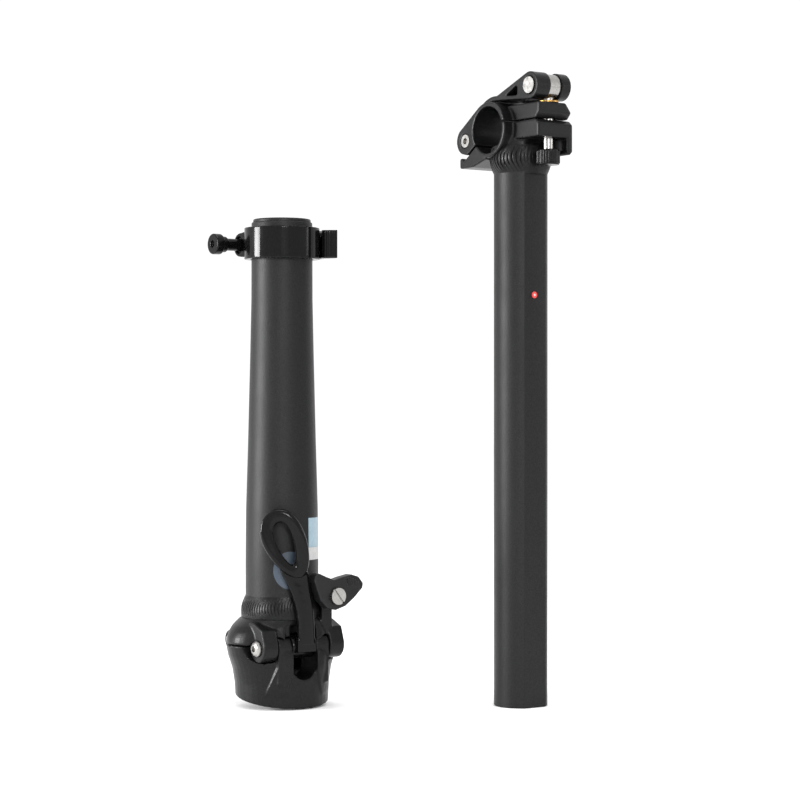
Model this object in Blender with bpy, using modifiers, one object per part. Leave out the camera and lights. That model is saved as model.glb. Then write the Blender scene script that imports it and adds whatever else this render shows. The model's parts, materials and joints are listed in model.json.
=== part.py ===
"""Folding bicycle handlepost in two telescoping halves, standing side by side.

Millimetres here, metres in Blender.  +Z is up, X runs along the hinge pins and the handlebar bore,
and -Y is the front, where the loop lever is.  The origin is on the ground, in the middle of the area
that the two halves cover.  Each half is drawn round its own tube axis and then moved to its place.
"""
import math

import bmesh
import bpy
from mathutils import Matrix, Vector

MM = 0.001
GAP = 0.3                      # running gap between neighbouring solids

# Where each half's tube axis stands on the ground
LOWER_PLACE = (-46.25, 37.95)
UPPER_PLACE = (60.75, -39.05)

# Driving dimensions of the lower half
PARTING_Z = 35.0               # plane where the two hinge forgings meet
FORGING_TOP_Z = 54.0           # top of the upper forging, under the tapered tube
SHOULDER_Z = 49.2              # foot of the weld, on the forging
TUBE_TOP_Z = 266.4
TUBE_FOOT_R = 20.1
TUBE_TOP_R = 16.8
TUBE_BORE_R = 15.6
FORGING_BORE_R = 15.6
STEERER_BORE_R = 16.0
RIM_SLOPE = 0.2                # rise per millimetre towards the back of the slanted lower rim

HINGE_Y, HINGE_Z = 27.0, 35.0  # fold hinge, behind the post
HINGE_PIN_R = 2.8
KNUCKLE_R = 5.5
KNUCKLE_HALF = 7.6             # half width of the moving knuckle

LATCH_Y, LATCH_Z = -16.0, 34.0  # latch pin, in front
LATCH_PIN_R = 3.3
LEVER_HALF = 7.3               # half width of the loop lever's barrel
EAR_INNER, EAR_OUTER = 7.8, 16.3
LUG_INNER, LUG_OUTER = 16.7, 26.0
LUG_R, EAR_R, BARREL_R = 7.6, 7.0, 6.5

LOOP_Z = 90.8                  # middle of the lever's finger loop
LOOP_HALF_X, LOOP_HALF_Z = 9.9, 15.2
LEVER_BACK_Y, LEVER_THICK = -22.0, 4.4
WRAP_START_Z, WRAP_END_Z = 45.0, 108.0
WRAP_ANGLE = math.radians(-35.5)

CATCH_X, CATCH_Z = 16.0, 61.5
CATCH_BACK_Y, CATCH_THICK = -23.6, 7.0

COLLAR_LOW_Z, COLLAR_HIGH_Z = 246.0, 263.4
COLLAR_MID_Z = (COLLAR_LOW_Z + COLLAR_HIGH_Z) / 2
COLLAR_R = 20.8
BOLT_Y, BOLT_R = 21.8, 2.4
CAM_X = 19.2                   # pivot of the collar lever

# Driving dimensions of the upper half
POST_R = 14.8
POST_BORE_R = 12.6
POST_FLAT_Y = -12.8            # long flat along the front of the inner tube
POST_TOP_Z = 297.0
BAR_Y, BAR_Z = 6.5, 317.0      # handlebar bore axis
BAR_BORE_R = 12.9
HEAD_R = 15.3
HEAD_HALF = 18.5
CAP_PIN_Y, CAP_PIN_Z = 26.7, 312.7
CAP_PIN_R = 3.6
CAP_KNUCKLE_R, CAP_KNUCKLE_HALF = 6.0, 9.0
EYE_Y, EYE_Z = -24.0, 338.8    # cross pin of the head lever
CAP_BLOCK_TOP_Z = 329.8
SHANK_R = 2.7
CROSS_PIN_R = 4.5

# material name: colour, roughness, metallic
FINISHES = {
    "satin_black": ((0.018, 0.018, 0.019), 0.45, 0.6),
    "forged_black": ((0.014, 0.014, 0.015), 0.38, 0.5),
    "gloss_black": ((0.008, 0.008, 0.009), 0.22, 0.4),
    "black_plastic": ((0.02, 0.02, 0.021), 0.5, 0.0),
    "steel": ((0.62, 0.61, 0.59), 0.25, 1.0),
    "brass": ((0.60, 0.36, 0.12), 0.35, 1.0),
    "red_paint": ((0.60, 0.03, 0.03), 0.4, 0.0),
}

# Rotations that turn the local Z of a primitive or plate into another axis.
# A plate's outline is drawn as (x, y); these say where its x, y and normal point.
ALONG_X = Matrix(((0, 0, 1), (1, 0, 0), (0, 1, 0))).to_4x4()     # outline (Y, Z), normal +X
ALONG_Y = Matrix(((1, 0, 0), (0, 0, -1), (0, 1, 0))).to_4x4()    # outline (X, Z), normal -Y
ALONG_Z = Matrix.Identity(4)                                     # outline (X, Y), normal +Z


def clear_scene():
    for obj in list(bpy.data.objects):
        bpy.data.objects.remove(obj, do_unlink=True)


def make_collection(name):
    collection = bpy.data.collections.new(name)
    bpy.context.scene.collection.children.link(collection)
    return collection


def make_materials():
    materials = {}
    for name, (colour, roughness, metallic) in FINISHES.items():
        material = bpy.data.materials.new(name)
        material.use_nodes = True
        shader = material.node_tree.nodes["Principled BSDF"]
        shader.inputs["Base Color"].default_value = (*colour, 1.0)
        shader.inputs["Roughness"].default_value = roughness
        shader.inputs["Metallic"].default_value = metallic
        material.diffuse_color = (*colour, 1.0)
        materials[name] = material
    return materials


clear_scene()
PARTS = make_collection("folding_handlepost")
CUTTERS = make_collection("cutters")
MATERIALS = make_materials()


def new_object(name, mesh, centre=(0, 0, 0), turn=ALONG_Z):
    obj = bpy.data.objects.new(name, mesh)
    obj.matrix_world = Matrix.Translation(Vector(centre) * MM) @ turn
    PARTS.objects.link(obj)
    return obj


def mesh_from(bm, name):
    bmesh.ops.recalc_face_normals(bm, faces=bm.faces)
    mesh = bpy.data.meshes.new(name)
    bm.to_mesh(mesh)
    bm.free()
    mesh.shade_smooth()
    mesh.set_sharp_from_angle(angle=math.radians(35))
    return mesh


def box(name, low, high):
    low, high = Vector(low), Vector(high)
    bm = bmesh.new()
    bmesh.ops.create_cube(bm, size=1.0, matrix=Matrix.Diagonal((high - low) * MM).to_4x4())
    return new_object(name, mesh_from(bm, name), (low + high) / 2)


def rod(name, radius, low, high, centre, turn=ALONG_Z, segments=32, tip_radius=None):
    """Cylinder or cone between two stations along its axis; centre gives the other two coordinates."""
    axis = turn.to_3x3() @ Vector((0, 0, 1))
    sign = -1 if sum(axis) < 0 else 1
    tip_radius = radius if tip_radius is None else tip_radius
    bm = bmesh.new()
    bmesh.ops.create_cone(bm, cap_ends=True, segments=segments, depth=(high - low) * MM,
                          radius1=radius * MM, radius2=tip_radius * MM)
    middle = Vector(centre)
    for index in range(3):
        if abs(axis[index]) > 0.5:
            middle[index] = (low + high) / 2 * 1.0
    if sign < 0:
        turn = turn @ Matrix.Rotation(math.pi, 4, "X")
    return new_object(name, mesh_from(bm, name), middle, turn)


def turned(name, profile, segments=48, centre=(0, 0, 0), turn=ALONG_Z):
    """Ring or cup: the closed profile of (radius, height) runs down its outer side first."""
    mesh = bpy.data.meshes.new(name)
    points = [(radius * MM, 0, height * MM) for radius, height in profile]
    count = len(points)
    mesh.from_pydata(points, [(i, (i + 1) % count) for i in range(count)], [])
    obj = new_object(name, mesh, centre, turn)
    screw = obj.modifiers.new("turn", "SCREW")
    screw.angle = math.tau
    screw.steps = screw.render_steps = segments
    screw.use_merge_vertices = True
    screw.merge_threshold = 0.00001
    screw.use_smooth_shade = False
    return obj


def plate(name, outline, low, high, turn=ALONG_Z, centre=(0, 0)):
    """Flat outline extruded between two stations along its normal's axis."""
    curve = bpy.data.curves.new(name, "CURVE")
    curve.dimensions = "2D"
    curve.fill_mode = "BOTH"
    curve.extrude = (high - low) / 2 * MM
    spline = curve.splines.new("POLY")
    spline.points.add(len(outline) - 1)
    for point, (x, y) in zip(spline.points, outline):
        point.co = ((x + centre[0]) * MM, (y + centre[1]) * MM, 0, 1)
    spline.use_cyclic_u = True
    flat = bpy.data.objects.new(name + "_outline", curve)
    PARTS.objects.link(flat)
    bpy.context.view_layer.update()
    mesh = bpy.data.meshes.new_from_object(flat.evaluated_get(bpy.context.evaluated_depsgraph_get()))
    bpy.data.objects.remove(flat)
    bm = bmesh.new()
    bm.from_mesh(mesh)
    bpy.data.meshes.remove(mesh)
    bmesh.ops.remove_doubles(bm, verts=bm.verts, dist=0.000002)
    axis = turn.to_3x3() @ Vector((0, 0, 1))
    middle = [(low + high) / 2 * abs(round(part)) for part in axis]
    return new_object(name, mesh_from(bm, name), middle, turn)


def loft(name, rings, segments=48):
    """Solid through elliptical sections (height, half width X, half depth Y)."""
    bm = bmesh.new()
    loops = []
    for height, half_x, half_y in rings:
        loops.append([bm.verts.new((half_x * MM * math.cos(math.tau * i / segments),
                                    half_y * MM * math.sin(math.tau * i / segments), height * MM))
                      for i in range(segments)])
    for lower, upper in zip(loops, loops[1:]):
        for i in range(segments):
            j = (i + 1) % segments
            bm.faces.new((lower[i], lower[j], upper[j], upper[i]))
    bm.faces.new(loops[0][::-1])
    bm.faces.new(loops[-1])
    return new_object(name, mesh_from(bm, name))


def combine(target, operand, operation):
    """Boolean with a second solid, which becomes a hidden helper."""
    modifier = target.modifiers.new(operation.lower(), "BOOLEAN")
    modifier.operation = operation
    modifier.solver = "EXACT"
    modifier.object = operand
    operand.hide_render = True
    operand.display_type = "WIRE"
    if operand.name in PARTS.objects:
        PARTS.objects.unlink(operand)
        CUTTERS.objects.link(operand)


def cut(target, *operands):
    for operand in operands:
        combine(target, operand, "DIFFERENCE")


def join(target, *operands):
    for operand in operands:
        combine(target, operand, "UNION")


def round_edges(obj, width, segments=2, angle=40):
    bevel = obj.modifiers.new("round", "BEVEL")
    bevel.width = width * MM
    bevel.segments = segments
    bevel.limit_method = "ANGLE"
    bevel.angle_limit = math.radians(angle)


def finish(obj, material):
    obj.data.materials.clear()
    obj.data.materials.append(MATERIALS[material])


def arc(centre, radius, start, end, steps):
    """Points on an arc, angles in degrees."""
    points = []
    for step in range(steps + 1):
        angle = math.radians(start + (end - start) * step / steps)
        points.append((centre[0] + radius * math.cos(angle), centre[1] + radius * math.sin(angle)))
    return points


def hull(points):
    """Convex outline round the points, counter-clockwise."""
    points = sorted(set(points))

    def half(sequence):
        chain = []
        for point in sequence:
            while len(chain) > 1 and ((chain[-1][0] - chain[-2][0]) * (point[1] - chain[-2][1])
                                      - (chain[-1][1] - chain[-2][1]) * (point[0] - chain[-2][0])) <= 0:
                chain.pop()
            chain.append(point)
        return chain[:-1]

    return half(points) + half(points[::-1])


def smoothstep(value):
    value = min(1.0, max(0.0, value))
    return value * value * (3 - 2 * value)


def mirrored_rods(name, radius, inner, outer, y, z, segments=32):
    """Two rods along X, one on each side of the middle."""
    return (rod(name + "_left", radius, -outer, -inner, (0, y, z), ALONG_X, segments),
            rod(name + "_right", radius, inner, outer, (0, y, z), ALONG_X, segments))


# Lower half ---------------------------------------------------------------------------------------

def base_forging():
    """Lower hinge forging: an oval cup that fits over the steerer, cut off on a slant."""
    body = loft("base_forging", [(-8, 26.4, 23.0), (4, 26.6, 23.2), (14, 27.2, 23.4), (22, 28.8, 23.7),
                                 (29, 31.6, 24.0), (PARTING_Z - GAP, 33.0, 24.0)])
    for side in (-1, 1):
        ear = hull(arc((LATCH_Y, LATCH_Z), EAR_R, 0, 360, 28) + [(-22.0, 14.0), (-15.0, 14.0)])
        low, high = sorted((side * EAR_INNER, side * EAR_OUTER))
        arm = [(EAR_INNER, 32), (EAR_OUTER, 32), (EAR_OUTER, 24), (20.5, 9), (12.5, 7), (EAR_INNER, 20)]
        splayed = plate("arm", [(side * x, z) for x, z in arm], -29, -12, ALONG_Y)
        combine(splayed, loft("arm_skin", [(6, 26.8, 23.4), (14, 28.2, 24.6), (22, 30.6, 25.6),
                                           (29, 33.6, 25.4), (33, 34.0, 24.6)]), "INTERSECT")
        join(body, plate("ear", ear, low, high, ALONG_X), splayed)
    join(body, *mirrored_rods("rear_ear", KNUCKLE_R, 8.7, 17.5, HINGE_Y, HINGE_Z))
    slope = math.atan(RIM_SLOPE)
    slant = box("rim_slant", (-60, -60, -40), (60, 60, 0))
    slant.matrix_world = (Matrix.Translation((0, -0.025, 0)) @ Matrix.Rotation(slope, 4, "X")
                          @ Matrix.Translation((0, 0, -0.020)))
    clear_x = EAR_INNER - 0.1
    cut(body, slant,
        rod("steerer_bore", STEERER_BORE_R, -20, 14, (0, 0, 0), segments=48),
        rod("steerer_bolt_bore", 4.4, 10, 30, (0, 0, 0), segments=24),
        rod("well", 13.0, 20, 50, (0, 3.0, 0), segments=40),
        rod("rear_knuckle_room", KNUCKLE_R + 0.5, -KNUCKLE_HALF - 1.1, KNUCKLE_HALF + 1.1,
            (0, HINGE_Y, HINGE_Z), ALONG_X),
        rod("rear_pin_hole", HINGE_PIN_R + GAP, -30, 30, (0, HINGE_Y, HINGE_Z), ALONG_X),
        box("lever_room", (-clear_x, -45, 24), (clear_x, -8, 50)),
        rod("lever_room_foot", clear_x, -45, -8, (0, 0, 24), ALONG_Y),
        box("hook_slot", (-EAR_OUTER - 0.2, LATCH_Y - 4.2, LATCH_Z),
            (EAR_OUTER + 0.2, LATCH_Y + 4.2, 60)),
        rod("hook_seat", 4.2, -EAR_OUTER - 0.2, EAR_OUTER + 0.2, (0, LATCH_Y, LATCH_Z), ALONG_X),
        *mirrored_rods("lug_room", LUG_R + 0.6, EAR_OUTER + 0.05, 45, LATCH_Y, LATCH_Z))
    finish(body, "forged_black")
    return body


def upper_forging():
    """Upper hinge forging: a bell under the tube, with latch lugs, a rear knuckle and the catch boss."""
    body = loft("upper_forging", [(PARTING_Z + GAP, 33.0, 24.0), (39, 32.4, 23.9), (42, 31.2, 23.7),
                                  (45, 29.0, 23.3), (47.2, 26.2, 22.7), (SHOULDER_Z, 23.4, 21.9),
                                  (SHOULDER_Z + 0.1, 20.1, 20.1), (FORGING_TOP_Z, 20.1, 20.1)])
    for side in (-1, 1):
        outline = hull(arc((LATCH_Y, LATCH_Z), LUG_R, 0, 360, 28) + [(-20.5, 44.0), (-12.0, 47.5), (-8.0, 48.0)])
        low, high = sorted((side * LUG_INNER, side * LUG_OUTER))
        join(body, plate("lug", outline, low, high, ALONG_X))
    join(body, rod("rear_knuckle", KNUCKLE_R, -KNUCKLE_HALF, KNUCKLE_HALF,
                   (0, HINGE_Y, HINGE_Z), ALONG_X),
         box("knuckle_web", (-KNUCKLE_HALF, 18, PARTING_Z + GAP), (KNUCKLE_HALF, HINGE_Y, 40.5)),
         rod("catch_boss", 5.2, CATCH_BACK_Y + 1.2, -8, (CATCH_X, 0, CATCH_Z), ALONG_Y),
         box("catch_rib", (CATCH_X - 3.5, -21.0, 42), (CATCH_X + 3.5, -10, CATCH_Z)))
    clear_x = LEVER_HALF + 0.4
    cut(body,
        rod("tube_seat", TUBE_FOOT_R + 0.4, FORGING_TOP_Z, 90, (0, 0, 0), segments=64),
        rod("throat", FORGING_BORE_R, 20, 90, (0, 0, 0), segments=48),
        rod("pin_hole", LATCH_PIN_R + GAP, -40, 40, (0, LATCH_Y, LATCH_Z), ALONG_X),
        rod("rear_hole", HINGE_PIN_R + GAP, -40, 40, (0, HINGE_Y, HINGE_Z), ALONG_X),
        rod("barrel_room", BARREL_R + 0.7, -clear_x, clear_x, (0, LATCH_Y, LATCH_Z), ALONG_X),
        box("blade_room", (-12.0, -45, 30), (clear_x, LEVER_BACK_Y + 0.8, 60)),
        box("blade_foot_room", (-clear_x, -45, 30), (clear_x, LATCH_Y, 46)),
        *mirrored_rods("spot_face", 5.0, LUG_OUTER, 45, LATCH_Y, LATCH_Z),
        *mirrored_rods("ear_room", EAR_R + 0.5, clear_x - 0.2, LUG_INNER - 0.05, LATCH_Y, LATCH_Z),
        *mirrored_rods("rear_ear_room", KNUCKLE_R + 0.5, KNUCKLE_HALF + 0.1, 18, HINGE_Y, HINGE_Z),
        rod("catch_screw_hole", 2.3, -40, -12, (CATCH_X, 0, CATCH_Z), ALONG_Y, 20))
    finish(body, "forged_black")
    return body


def outer_tube():
    """Tapered tube, slit at its mouth so that the collar can squeeze it."""
    foot = FORGING_TOP_Z + GAP
    body = turned("outer_tube", [(TUBE_TOP_R - 0.5, TUBE_TOP_Z), (TUBE_TOP_R, TUBE_TOP_Z - 0.5),
                                 (TUBE_TOP_R + 0.1, 224), (17.6, 191), (18.8, 142), (19.8, 109),
                                 (TUBE_FOOT_R, 80), (TUBE_FOOT_R, foot),
                                 (TUBE_BORE_R, foot), (TUBE_BORE_R, TUBE_TOP_Z)])
    slit = box("slit", (TUBE_TOP_R - 5, -1.5, TUBE_TOP_Z - 20), (TUBE_TOP_R + 5, 1.5, TUBE_TOP_Z + 5))
    slit.matrix_world = Matrix.Rotation(math.radians(-33), 4, "Z") @ slit.matrix_world
    cut(body, slit, box("rear_slit", (-1.2, 10, TUBE_TOP_Z - 38), (1.2, 25, TUBE_TOP_Z + 5)))
    finish(body, "satin_black")
    return body


def guide_sleeve():
    """Thin plastic sleeve inside the mouth, with a rim on top; the inner tube slides in it."""
    rim = TUBE_TOP_Z + 1.8
    body = turned("guide_sleeve", [(15.4, rim), (15.9, rim - 0.5), (15.9, TUBE_TOP_Z + GAP),
                                   (15.3, TUBE_TOP_Z + GAP), (15.3, 200), (14.9, 200), (14.9, rim)])
    finish(body, "black_plastic")
    return body


def lower_weld_bead():
    """Broad weld over the joint of forging and tube, open round the catch boss."""
    seat = SHOULDER_Z + GAP
    body = turned("lower_weld_bead", [(20.6, seat + 11.2), (21.5, seat + 9.6), (22.3, seat + 6.0),
                                      (22.5, seat + 2.6), (22.3, seat), (20.5, seat)], 48)
    cut(body, rod("boss_room", 5.6, -40, 0, (CATCH_X, 0, CATCH_Z), ALONG_Y),
        box("rib_room", (CATCH_X - 3.9, -40, 40), (CATCH_X + 3.9, -9, 70)),
        box("lever_room_weld", (-14, -40, 40), (8, LEVER_BACK_Y + 0.6, 70)))
    finish(body, "satin_black")
    return body


def steerer_bolt():
    body = rod("steerer_bolt", 4.0, 12.5, 22.0, (0, 0, 0), segments=24)
    join(body, rod("bolt_head", 6.5, 20.0 + GAP, 27, (0, 0, 0), segments=32))
    cut(body, rod("hex_socket", 3.4, 22.5, 30, (0, 0, 0), segments=6))
    finish(body, "steel")
    return body


def rear_hinge_pin():
    body = rod("rear_hinge_pin", HINGE_PIN_R, -18.2, 18.2, (0, HINGE_Y, HINGE_Z), ALONG_X)
    round_edges(body, 0.5)
    finish(body, "steel")
    return body


def hinge_washer(name, inner):
    ring = [(KNUCKLE_R, 0.5), (KNUCKLE_R, 0), (HINGE_PIN_R + GAP, 0), (HINGE_PIN_R + GAP, 0.5)]
    body = turned(name, ring, 32, (inner, HINGE_Y, HINGE_Z), ALONG_X)
    finish(body, "black_plastic")
    return body


def latch_pin():
    body = rod("latch_pin", LATCH_PIN_R, -25.7, 25.7, (0, LATCH_Y, LATCH_Z), ALONG_X)
    finish(body, "steel")
    return body


def latch_pin_screw(name, side):
    """Domed screw head on the end of the latch pin, with a hexagon socket."""
    profile = [(2.2, 2.3), (3.4, 1.7), (4.2, 0.7), (4.3, 0), (0.02, 0), (0.02, 2.3)]
    turn = ALONG_X if side > 0 else Matrix.Rotation(math.pi, 4, "Z") @ ALONG_X
    body = turned(name, profile, 32, (side * (LUG_OUTER + GAP), LATCH_Y, LATCH_Z), turn)
    socket = rod("socket", 1.9, 1.2, 5.0, (0, LATCH_Y, LATCH_Z), ALONG_X, 6)
    socket.location.x = side * (LUG_OUTER + GAP + 2.6) * MM
    plug = rod("core", 0.6, 0.0, 1.6, (0, LATCH_Y, LATCH_Z), ALONG_X, 12)
    plug.location.x = side * (LUG_OUTER + GAP + 0.8) * MM
    join(body, plug)
    cut(body, socket)
    finish(body, "steel")
    return body


def wrapped(x, depth, z):
    """Point of the lever at a depth in front of its back, turned round the tube with its height."""
    turn = WRAP_ANGLE * smoothstep((z - WRAP_START_Z) / (WRAP_END_Z - WRAP_START_Z))
    return Matrix.Rotation(turn, 3, "Z") @ Vector((x, LEVER_BACK_Y - depth, z)) * MM


def rounded_section(half_side, half_depth, corners=16):
    """Rounded rectangle as (side, depth) offsets."""
    section = []
    for i in range(corners):
        angle = math.tau * (i + 0.5) / corners
        across, along = math.cos(angle), math.sin(angle)
        section.append((math.copysign(abs(across) ** 0.6, across) * half_side,
                        math.copysign(abs(along) ** 0.6, along) * half_depth))
    return section


def skin(name, rings, closed):
    """Solid through rings of points, either closed on itself or capped at both ends."""
    bm = bmesh.new()
    loops = [[bm.verts.new(point) for point in ring] for ring in rings]
    count = len(loops[0])
    for index in range(len(loops) if closed else len(loops) - 1):
        here, there = loops[index], loops[(index + 1) % len(loops)]
        for i in range(count):
            j = (i + 1) % count
            for corners in ((here[i], here[j], there[j]), (here[i], there[j], there[i])):
                bm.faces.new(corners)
    if not closed:
        bm.faces.new(loops[0][::-1])
        bm.faces.new(loops[-1])
    return new_object(name, mesh_from(bm, name))


def main_lever():
    """Loop lever: a blade from the barrel on the latch pin up to a finger loop that hugs the tube."""
    blade = []
    for z, half in ((LATCH_Z + 2, 5.9), (40, 5.5), (46, 5.2), (52, 5.2), (58, 5.4), (63, 5.7),
                    (67, 6.3), (71, 7.0), (75, 7.8), (78, 7.0)):
        blade.append([wrapped(side, LEVER_THICK / 2 + depth, z)
                      for side, depth in rounded_section(half, LEVER_THICK / 2, 16)])
    loop = []
    for step in range(40):
        angle = math.tau * step / 40
        taper = 1 - 0.13 * (1 - math.cos(angle))
        out_x, out_z = math.sin(angle), math.cos(angle)
        loop.append([wrapped((LOOP_HALF_X * taper + side) * out_x, 3.2 + depth,
                             LOOP_Z + (LOOP_HALF_Z + side) * out_z)
                     for side, depth in rounded_section(3.8, 3.2, 12)])
    body = skin("main_lever", blade, False)
    join(body, skin("finger_loop", loop, True),
         rod("barrel", BARREL_R, -LEVER_HALF, LEVER_HALF, (0, LATCH_Y, LATCH_Z), ALONG_X),
         box("blade_root", (-5.9, LEVER_BACK_Y - LEVER_THICK + 0.6, LATCH_Z - 2.5),
             (5.9, LATCH_Y, LATCH_Z + 4.5)))
    cut(body, rod("barrel_hole", LATCH_PIN_R + GAP, -20, 20, (0, LATCH_Y, LATCH_Z), ALONG_X))
    finish(body, "gloss_black")
    return body


def catch():
    """Safety catch: a two-winged thumb latch whose left wing ends beside the loop lever."""
    px, pz = CATCH_X, CATCH_Z
    shape = [(-14.0, 11.8), (-11.2, 12.9), (-6.4, 10.8), (-1.2, 8.9), (3.9, 10.2), (10.1, 11.4),
             (14.7, 10.0), (17.8, 6.4), (17.3, 3.7), (12.1, -1.3), (6.0, -5.8), (-0.2, -7.7),
             (-6.0, -6.4), (-10.2, -2.1), (-12.4, 3.7), (-13.9, 8.2)]
    outline = [(px + x, pz + z) for x, z in shape]
    body = plate("catch", outline, CATCH_BACK_Y - CATCH_THICK, CATCH_BACK_Y, ALONG_Y)
    round_edges(body, 0.9)
    cut(body, rod("catch_hole", 2.6, -60, 0, (px, 0, pz), ALONG_Y, 20))
    finish(body, "black_plastic")
    return body


def catch_screw():
    face = CATCH_BACK_Y - CATCH_THICK - GAP
    body = rod("catch_screw", 4.6, face - 1.8, face, (CATCH_X, 0, CATCH_Z), ALONG_Y, 32)
    join(body, rod("shank", 2.0, face - 0.5, -15, (CATCH_X, 0, CATCH_Z), ALONG_Y, 20))
    slot = box("driver_slot", (-0.6, face - 4, -6), (0.6, face - 0.9, 6))
    slot.matrix_world = (Matrix.Translation((CATCH_X * MM, slot.location.y, CATCH_Z * MM))
                         @ Matrix.Rotation(math.radians(-38), 4, "Y"))
    cut(body, slot)
    finish(body, "steel")
    return body


def catch_washer():
    body = rod("catch_washer", 4.6, CATCH_BACK_Y + GAP, CATCH_BACK_Y + 0.9,
               (CATCH_X, 0, CATCH_Z), ALONG_Y, 28)
    cut(body, rod("washer_hole", 2.3, -60, 0, (CATCH_X, 0, CATCH_Z), ALONG_Y, 20))
    finish(body, "steel")
    return body


def collar_ring():
    """Split clamp ring with two lugs behind, drilled for the collar bolt."""
    body = rod("collar_ring", COLLAR_R, COLLAR_LOW_Z, COLLAR_HIGH_Z, (0, 0, 0), segments=64)
    lug = hull(arc((BOLT_Y - 1.0, COLLAR_MID_Z), 6.6, 0, 360, 24)
               + [(10, COLLAR_LOW_Z + 1), (10, COLLAR_HIGH_Z - 1)])
    join(body, plate("lugs", lug, -14.6, 13.2, ALONG_X))
    cut(body, rod("collar_bore", TUBE_TOP_R + 0.4, 240, 270, (0, 0, 0), segments=64),
        box("collar_gap", (-1.3, 12, 240), (1.3, 40, 270)),
        rod("bolt_hole", BOLT_R + GAP, -30, 30, (0, BOLT_Y, COLLAR_MID_Z), ALONG_X, 24),
        rod("counterbore", 4.8, -17, -12.4, (0, BOLT_Y, COLLAR_MID_Z), ALONG_X, 28))
    finish(body, "gloss_black")
    return body


def collar_bolt():
    """Bolt along X with an eye for the lever's pivot."""
    body = rod("collar_bolt", BOLT_R, -28.7, CAM_X - 2, (0, BOLT_Y, COLLAR_MID_Z), ALONG_X, 24)
    join(body, rod("eye", 5.0, COLLAR_MID_Z - 3.4, COLLAR_MID_Z + 3.4, (CAM_X, BOLT_Y, 0)))
    cut(body, rod("eye_hole", 2.6, 230, 280, (CAM_X, BOLT_Y, 0), segments=20))
    finish(body, "steel")
    return body


def collar_pivot_pin():
    body = rod("collar_pivot_pin", 2.3, COLLAR_LOW_Z + 1.4, COLLAR_HIGH_Z - 1.4,
               (CAM_X, BOLT_Y, 0), segments=20)
    finish(body, "steel")
    return body


def collar_lever():
    """Flat lever round the right side of the collar, ending in a flared thumb tab."""
    inner, outer = 22.1, 25.2
    outline = (arc((0, 0), inner, 48, -34, 30) + arc((0, 0), 30.6, -36, -34, 2)
               + [(29.6 * math.cos(math.radians(-29)), 29.6 * math.sin(math.radians(-29))),
                  (26.4 * math.cos(math.radians(-20)), 26.4 * math.sin(math.radians(-20)))]
               + arc((0, 0), outer, -12, 47, 20))
    low, high = COLLAR_LOW_Z + 0.9, COLLAR_HIGH_Z - 0.9
    body = plate("collar_lever", outline, low, high, ALONG_Z)
    join(body, rod("cam", 5.4, low, high, (CAM_X, BOLT_Y, 0)))
    cut(body, rod("eye_room", 5.6, COLLAR_MID_Z - 3.8, COLLAR_MID_Z + 3.8, (CAM_X, BOLT_Y, 0)),
        rod("cam_hole", 2.6, 230, 280, (CAM_X, BOLT_Y, 0), segments=20))
    finish(body, "gloss_black")
    return body


def collar_nut():
    """Round nut on the left end of the collar bolt, with a hexagon socket."""
    body = rod("collar_nut", 5.75, -31.6, -26.6, (0, BOLT_Y, COLLAR_MID_Z), ALONG_X, 40)
    round_edges(body, 0.6)
    cut(body, rod("nut_bore", BOLT_R + GAP, -29.2, -20, (0, BOLT_Y, COLLAR_MID_Z), ALONG_X, 24),
        rod("nut_socket", 2.3, -35, -30.2, (0, BOLT_Y, COLLAR_MID_Z), ALONG_X, 6))
    finish(body, "gloss_black")
    return body


def nut_washer():
    """Stepped spacer between the round nut and the collar's counterbored lug."""
    profile = [(3.4, 13.6), (3.4, 3.4), (4.4, 2.6), (4.4, 0), (BOLT_R + GAP, 0), (BOLT_R + GAP, 13.6)]
    body = turned("nut_washer", profile, 28, (-26.3, BOLT_Y, COLLAR_MID_Z), ALONG_X)
    finish(body, "gloss_black")
    return body


# Upper half, drawn round its own tube axis and then moved to where it stands ------------------------

def inner_tube():
    body = rod("inner_tube", POST_R, 0, POST_TOP_Z, (0, 0, 0), segments=64)
    cut(body, rod("post_bore", POST_BORE_R - 0.4, -10, POST_TOP_Z + 10, (0, 0, 0), segments=48),
        box("post_flat", (-30, -30, -10), (30, POST_FLAT_Y, POST_TOP_Z + 10)))
    finish(body, "satin_black")
    return body


def limit_mark():
    body = rod("limit_mark", 1.8, POST_FLAT_Y - 0.7, POST_FLAT_Y - GAP, (-1.0, 0, 226), ALONG_Y, 24)
    finish(body, "red_paint")
    return body


def head_weld_bead():
    body = turned("head_weld_bead", [(15.5, 296.7), (17.3, 295.6), (17.6, 294.2), (16.6, 292.6),
                                     (15.1, 292.2), (15.1, 296.7)], 48)
    finish(body, "satin_black")
    return body


def slit_below():
    """Everything under the split between the cap and the saddle, seen along the bore."""
    reach = 40
    return [(-45, 324.2), (-30.2, 324.2), (-27.0, 320.9), (BAR_Y, 320.9), (BAR_Y, BAR_Z), (BAR_Y + reach, BAR_Z - 0.675 * reach),
            (BAR_Y + reach, 270), (-45, 270)]


def slit_above():
    """Everything over the split, half a millimetre lower in front and a little more behind."""
    reach = 40
    return [(-45, 318.0), (-30.2, 318.0), (-27.6, 320.4), (BAR_Y, 320.4), (BAR_Y, BAR_Z - 1.2),
            (BAR_Y + reach, BAR_Z - 1.2 - 0.675 * reach), (BAR_Y + reach, 360), (-45, 360)]


def shank_bore(name):
    return rod(name, SHANK_R + 0.4, 290, 340, (0, EYE_Y, 0), segments=24)


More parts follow.
